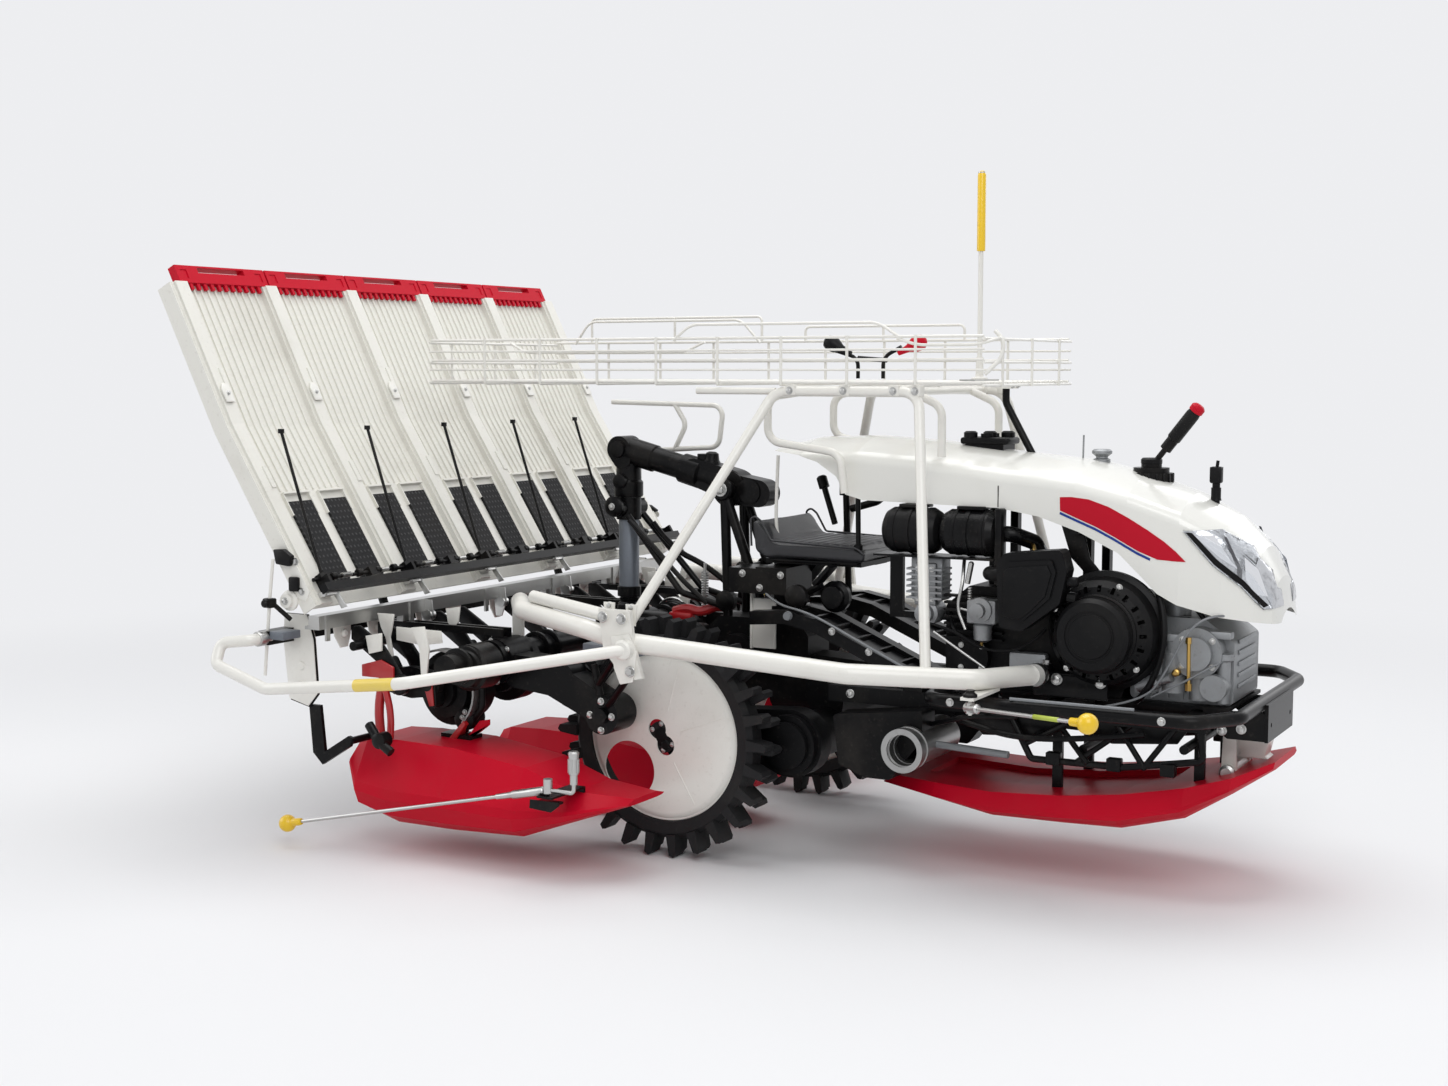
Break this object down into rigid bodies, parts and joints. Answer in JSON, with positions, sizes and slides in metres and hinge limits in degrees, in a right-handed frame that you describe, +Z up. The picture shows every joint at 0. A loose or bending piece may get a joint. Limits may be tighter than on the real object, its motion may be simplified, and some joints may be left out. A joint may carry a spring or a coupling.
{
  "type": "rice transplanter",
  "caption": "Walking rice transplanter: sloping ribbed seedling tray, two lugged wheels, red floats, front engine under a hood and a wire rack",
  "frame": {"origin": "middle of the machine's box, on the floor", "axes": "+X forward, +Y to the machine's left, +Z up"},
  "size_m": [2.6596, 2.029, 1.69],
  "materials": {
    "white_paint": "semi-gloss white paint",
    "hood_white": "glossy white moulded shell",
    "tray_white": "white moulded plastic, satin",
    "black_paint": "semi-gloss black paint",
    "engine_black": "black engine paint",
    "cast_black": "cast alloy, painted black",
    "black_plastic": "black moulded plastic",
    "engine_grey": "cast alloy, as cast",
    "red_plastic": "red moulded plastic",
    "tyre_rubber": "black rubber, lugged",
    "belt_rubber": "black studded rubber",
    "zinc": "zinc-plated steel",
    "yellow_plastic": "yellow plastic",
    "seat_vinyl": "black vinyl cover",
    "clear_plastic": "clear lens"
  },
  "bodies": {
    "root": {"main_frame": "cast_black", "engine_block": "cast_black", "fan_housing": "black_plastic", "air_cleaner": "black_plastic", "fuel_tank": "black_plastic", "bumper": "black_paint", "engine_brackets": "black_paint", "seat_frame": "black_paint", "steps": "black_paint", "lift_post": "black_paint", "lift_cylinder": "black_paint", "planting_frame": "black_paint", "float_links": "black_paint", "control_levers": "black_paint", "muffler": "engine_black", "gearbox": "engine_grey", "hood_rear": "hood_white", "hood_front": "hood_white", "side_frame": "white_paint", "guards": "white_paint", "rack_frame": "white_paint", "seedling_rack": "white_paint", "seat": "seat_vinyl", "headlamps": "clear_plastic", "guide_rail": "zinc", "centre_mast": "zinc", "rear_floats": "red_plastic", "front_float": "red_plastic"},
    "swing_arms": {"swing_arms": "cast_black"},
    "wheel_right": {"tyre_right": "tyre_rubber", "wheel_disc_right": "white_paint"},
    "wheel_left": {"tyre_left": "tyre_rubber", "wheel_disc_left": "white_paint"},
    "tray": {"tray_panel": "tray_white", "tray_rails": "tray_white", "tray_handles": "red_plastic", "feed_belts": "belt_rubber", "press_bar": "black_paint"},
    "planting_shaft": {"planting_rotors": "black_paint"},
    "lift_arm": {"lift_arm": "black_paint"},
    "lift_rod": {"lift_rod": "zinc"},
    "line_marker_right": {"line_marker_right": "zinc"},
    "side_marker_right": {"side_marker_right": "zinc"},
    "line_marker_left": {"line_marker_left": "zinc"},
    "side_marker_left": {"side_marker_left": "zinc"}
  },
  "joints": [
    {"name": "wheel_lift", "type": "hinge", "parent": "root", "child": "swing_arms", "pos_m": [0.20485, 0, 0.292], "axis": [0, -1, 0], "range_deg": [0, 28]},
    {"name": "wheel_spin_right", "type": "hinge", "parent": "swing_arms", "child": "wheel_right", "pos_m": [-0.09515, -0.4, 0.3], "axis": [0, 1, 0], "continuous": true},
    {"name": "wheel_spin_left", "type": "hinge", "parent": "swing_arms", "child": "wheel_left", "pos_m": [-0.09515, 0.4, 0.3], "axis": [0, 1, 0], "continuous": true},
    {"name": "tray_feed", "type": "slide", "parent": "root", "child": "tray", "axis": [0, 1, 0], "range_m": [-0.14, 0.14]},
    {"name": "planting_turn", "type": "hinge", "parent": "root", "child": "planting_shaft", "pos_m": [-0.68515, 0, 0.425], "axis": [0, 1, 0], "continuous": true},
    {"name": "lift_arm_swing", "type": "hinge", "parent": "root", "child": "lift_arm", "pos_m": [-0.12515, 0, 0.895], "axis": [0, 1, 0], "range_deg": [0, 18]},
    {"name": "lift_rod_slide", "type": "slide", "parent": "root", "child": "lift_rod", "axis": [0, 0, 1], "range_m": [0, 0.1]},
    {"name": "line_marker_swing_right", "type": "hinge", "parent": "root", "child": "line_marker_right", "pos_m": [-0.17515, -0.812, 0.233], "axis": [0, 0, 1], "range_deg": [0, 90]},
    {"name": "line_marker_swing_left", "type": "hinge", "parent": "root", "child": "line_marker_left", "pos_m": [-0.17515, 0.812, 0.233], "axis": [0, 0, -1], "range_deg": [0, 90]},
    {"name": "side_marker_swing_right", "type": "hinge", "parent": "root", "child": "side_marker_right", "pos_m": [0.75485, -0.52, 0.462], "axis": [0, 0, 1], "range_deg": [-50, 40]},
    {"name": "side_marker_swing_left", "type": "hinge", "parent": "root", "child": "side_marker_left", "pos_m": [0.75485, 0.52, 0.462], "axis": [0, 0, -1], "range_deg": [-50, 40]}
  ],
  "couplings": [
    {"joint": "lift_arm_swing", "follows": "wheel_lift", "ratio": 0.64286},
    {"joint": "lift_rod_slide", "follows": "wheel_lift", "m_per_rad": 0.20463}
  ]
}
